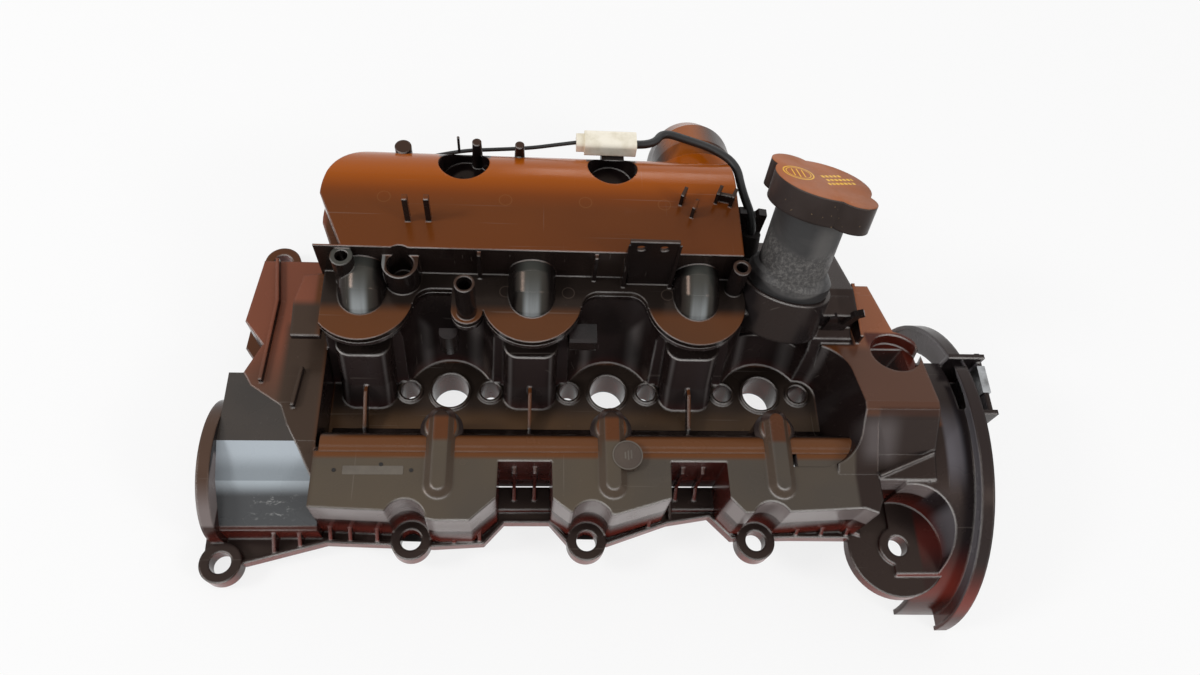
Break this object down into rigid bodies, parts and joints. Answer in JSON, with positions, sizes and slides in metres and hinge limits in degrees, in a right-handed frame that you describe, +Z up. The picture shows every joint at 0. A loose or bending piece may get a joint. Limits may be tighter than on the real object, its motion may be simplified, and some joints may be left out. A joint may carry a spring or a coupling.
{
  "type": "valve cover",
  "caption": "Engine valve cover with cam tunnel, injector valley, welded-on intake manifold, belt guard and oil filler neck with a screw cap.",
  "frame": {"origin": "on the axis of the middle injector bore, in the plane where the cover sits on the cylinder head", "axes": "+X along the engine towards the belt guard, +Y from the exhaust side towards the manifold, +Z up out of the cylinder head"},
  "size_m": [0.4635, 0.325, 0.193],
  "materials": {
    "black_moulding": "semi-gloss",
    "end_cover_moulding": "semi-gloss",
    "manifold_moulding": "semi-gloss",
    "duct_moulding": "satin",
    "neck_moulding": "satin",
    "cap_moulding": "satin",
    "cap_inner_moulding": "satin",
    "neck_seal_rubber": "matte",
    "cap_seal_rubber": "matte",
    "gasket_rubber": "matte",
    "well_seal_rubber": "matte",
    "port_seal_rubber": "matte",
    "baffle_moulding": "matte",
    "nut_steel": "bare",
    "clip_moulding": "satin",
    "connector_moulding": "satin",
    "cable_sleeve": "matte",
    "sensor_moulding": "satin"
  },
  "bodies": {
    "cover": {"cover_body": "black_moulding", "end_cover": "end_cover_moulding", "manifold_shell": "manifold_moulding", "inlet_duct": "duct_moulding", "neck_seal": "neck_seal_rubber", "filler_neck": "neck_moulding", "cover_gasket": "gasket_rubber", "oil_baffle": "baffle_moulding", "clip_nut": "nut_steel", "connector_clip": "clip_moulding", "connector": "connector_moulding", "sensor_cable": "cable_sleeve", "temperature_sensor": "sensor_moulding", "injector_well_seal_1": "well_seal_rubber", "port_seal_1": "port_seal_rubber", "injector_well_seal_2": "well_seal_rubber", "port_seal_2": "port_seal_rubber", "injector_well_seal_3": "well_seal_rubber", "port_seal_3": "port_seal_rubber"},
    "cap_lift_carrier": {"cap_seal": "cap_seal_rubber"},
    "cap": {"filler_cap": "cap_moulding", "cap_plug": "cap_inner_moulding"}
  },
  "joints": [
    {"name": "cap_lift", "type": "slide", "parent": "cover", "child": "cap_lift_carrier", "axis": [0.1392, 0.4848, 0.8635], "range_m": [0, 0.0151]},
    {"name": "cap_turn", "type": "hinge", "parent": "cap_lift_carrier", "child": "cap", "pos_m": [0.1035, 0.048, 0.08], "axis": [0.1392, 0.4848, 0.8635], "range_deg": [0, 450]}
  ],
  "couplings": [
    {"joint": "cap_lift", "follows": "cap_turn", "m_per_rad": 0.0019099}
  ]
}
